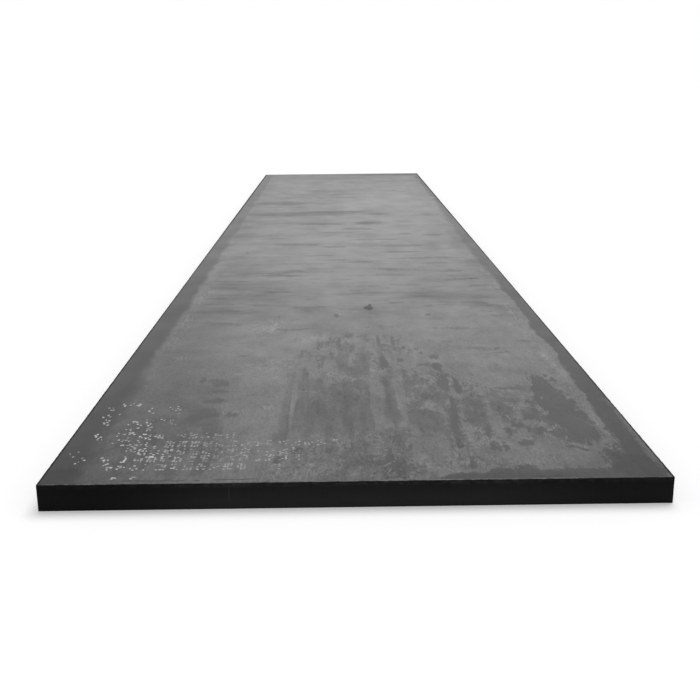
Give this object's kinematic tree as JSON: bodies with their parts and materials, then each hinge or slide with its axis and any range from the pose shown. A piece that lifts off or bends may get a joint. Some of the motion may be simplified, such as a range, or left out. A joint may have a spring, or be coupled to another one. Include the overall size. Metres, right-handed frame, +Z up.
{
  "type": "steel plate",
  "caption": "Heavy hot-rolled steel plate, long and flat, with gas-cut sides and grey-black mill scale on both faces.",
  "frame": {"origin": "middle of the underside", "axes": "+Z up through the thickness, +Y along the rolling direction (the length), +X across it (the width)"},
  "size_m": [2.23, 11.62, 0.1],
  "materials": {
    "scaled_steel": "grey-black mill scale, rolled, with dark bare margins and near-black gas-cut sides",
    "marking_paint": "matt pale marking paint, thin and worn"
  },
  "bodies": {
    "root": {"steel_plate": "scaled_steel"}
  },
  "joints": []
}
